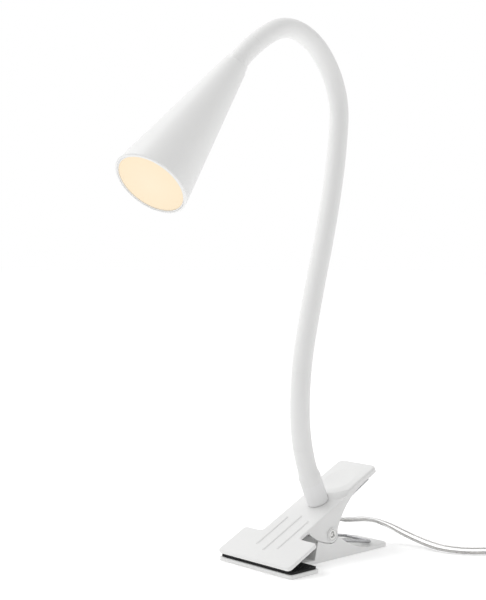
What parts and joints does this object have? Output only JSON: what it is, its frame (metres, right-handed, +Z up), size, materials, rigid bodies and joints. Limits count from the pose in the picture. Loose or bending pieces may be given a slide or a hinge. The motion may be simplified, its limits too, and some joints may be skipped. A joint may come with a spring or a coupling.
{
  "type": "clip-on reading lamp",
  "caption": "Clip-on reading lamp: sprung clip with rubber-lined jaws, bendable neck, slim cone shade with a lit round diffuser, and a clear lead with switch and plug-in driver.",
  "frame": {"origin": "on the flat underside of the lower jaw, in the clip's symmetry plane, straight below the pivot axis", "axes": "+X from the jaws to the tail, +Y along the pivot, +Z up"},
  "size_m": [0.2451, 0.2032, 0.3267],
  "materials": {
    "white_plastic": "satin moulded ABS",
    "shade_white": "fine matt",
    "reflector_white": "gloss",
    "black_rubber": "matt, pimpled",
    "rivet_steel": "bright nickel",
    "spring_steel": "bright wire",
    "grey_nylon": "matt",
    "zinc_steel": "zinc plated",
    "neck_silicone": "soft matt sleeve",
    "gooseneck_steel": "bare wound wire",
    "wire_insulation": "satin",
    "sink_aluminium": "as cast",
    "board_white": "solder mask",
    "led_phosphor": "clear silicone over phosphor",
    "diffuser_warm": "opal, lit warm white",
    "clear_pvc": "clear, with tinned conductors inside",
    "lead_white": "fine texture",
    "rocker_white": "gloss",
    "pin_brass": "nickel plated brass",
    "circuit_green": "circuit board"
  },
  "bodies": {
    "clip_base": {"lower_jaw_shell": "white_plastic", "lower_jaw_pad": "black_rubber", "pivot_rivet": "rivet_steel", "spring_bush": "grey_nylon", "torsion_spring": "spring_steel", "lamp_cord": "clear_pvc", "switch_base": "lead_white", "switch_cover": "lead_white", "rocker_pin": "zinc_steel", "mains_cord": "clear_pvc", "cord_coil": "clear_pvc", "driver_cord": "clear_pvc", "driver_case": "lead_white", "driver_cover": "lead_white", "driver_pins": "pin_brass", "driver_board": "circuit_green"},
    "clip_upper": {"upper_jaw_shell": "white_plastic", "upper_jaw_pad": "black_rubber", "neck_collar": "white_plastic", "base_nipple": "zinc_steel", "collar_nut": "zinc_steel", "wiring_cover": "white_plastic", "cover_screw": "zinc_steel", "cord_gland": "clear_pvc", "neck_sleeve_1": "neck_silicone", "neck_core_1": "gooseneck_steel", "neck_wires_1": "wire_insulation"},
    "neck_2": {"neck_sleeve_2": "neck_silicone", "neck_core_2": "gooseneck_steel", "neck_wires_2": "wire_insulation"},
    "neck_3": {"neck_sleeve_3": "neck_silicone", "neck_core_3": "gooseneck_steel", "neck_wires_3": "wire_insulation"},
    "neck_4": {"neck_sleeve_4": "neck_silicone", "neck_core_4": "gooseneck_steel", "neck_wires_4": "wire_insulation"},
    "neck_5": {"neck_sleeve_5": "neck_silicone", "neck_core_5": "gooseneck_steel", "neck_wires_5": "wire_insulation"},
    "neck_6": {"neck_sleeve_6": "neck_silicone", "neck_core_6": "gooseneck_steel", "neck_wires_6": "wire_insulation"},
    "neck_7": {"neck_sleeve_7": "neck_silicone", "neck_core_7": "gooseneck_steel", "neck_wires_7": "wire_insulation"},
    "lamp_head": {"neck_sleeve_8": "neck_silicone", "neck_core_8": "gooseneck_steel", "neck_wires_8": "wire_insulation", "shade": "shade_white", "shade_ferrule": "white_plastic", "end_nipple": "zinc_steel", "ferrule_nut": "zinc_steel", "heat_sink": "sink_aluminium", "led_board": "board_white", "led_chips": "led_phosphor", "board_screws": "zinc_steel", "lens_ring": "white_plastic", "reflector": "reflector_white", "diffuser": "diffuser_warm"},
    "rocker": {"switch_rocker": "rocker_white"}
  },
  "joints": [
    {"name": "jaw_open", "type": "hinge", "parent": "clip_base", "child": "clip_upper", "pos_m": [0, 0, 0.0155], "axis": [0, 1, 0], "range_deg": [0, 35], "stiffness_Nm_per_rad": 0.55, "springref_deg": -51.57, "deforming": ["torsion_spring", "lamp_cord"]},
    {"name": "neck_bend_1", "type": "hinge", "parent": "clip_upper", "child": "neck_2", "pos_m": [-0.01197, 0, 0.08958], "axis": [0, 1, 0], "range_deg": [-20, 35]},
    {"name": "neck_swing_1", "type": "hinge", "parent": "neck_2", "child": "neck_3", "pos_m": [-0.00638, 0.0004, 0.13481], "axis": [0.969, -0.0022, -0.247], "range_deg": [-30, 30]},
    {"name": "neck_bend_2", "type": "hinge", "parent": "neck_3", "child": "neck_4", "pos_m": [0.00644, 0.00178, 0.17864], "axis": [-0.0095, 0.9991, -0.0424], "range_deg": [-20, 35]},
    {"name": "neck_swing_2", "type": "hinge", "parent": "neck_4", "child": "neck_5", "pos_m": [0.02021, 0.00455, 0.22213], "axis": [0.9573, -0.0027, -0.289], "range_deg": [-30, 30]},
    {"name": "neck_bend_3", "type": "hinge", "parent": "neck_5", "child": "neck_6", "pos_m": [0.03106, 0.00872, 0.2663], "axis": [-0.0262, 0.9946, -0.1009], "range_deg": [-20, 35]},
    {"name": "neck_swing_3", "type": "hinge", "parent": "neck_6", "child": "neck_7", "pos_m": [0.01942, 0.01309, 0.30867], "axis": [0.7511, 0.0935, 0.6535], "range_deg": [-30, 30]},
    {"name": "neck_bend_4", "type": "hinge", "parent": "neck_7", "child": "lamp_head", "pos_m": [-0.02222, 0.01199, 0.31748], "axis": [-0.0774, 0.9914, -0.1053], "range_deg": [-20, 35]},
    {"name": "rocker_press", "type": "hinge", "parent": "clip_base", "child": "rocker", "pos_m": [0.0912, -0.115, 0.01], "axis": [-0.9994, 0.0349, 0], "range_deg": [0, 14]}
  ]
}
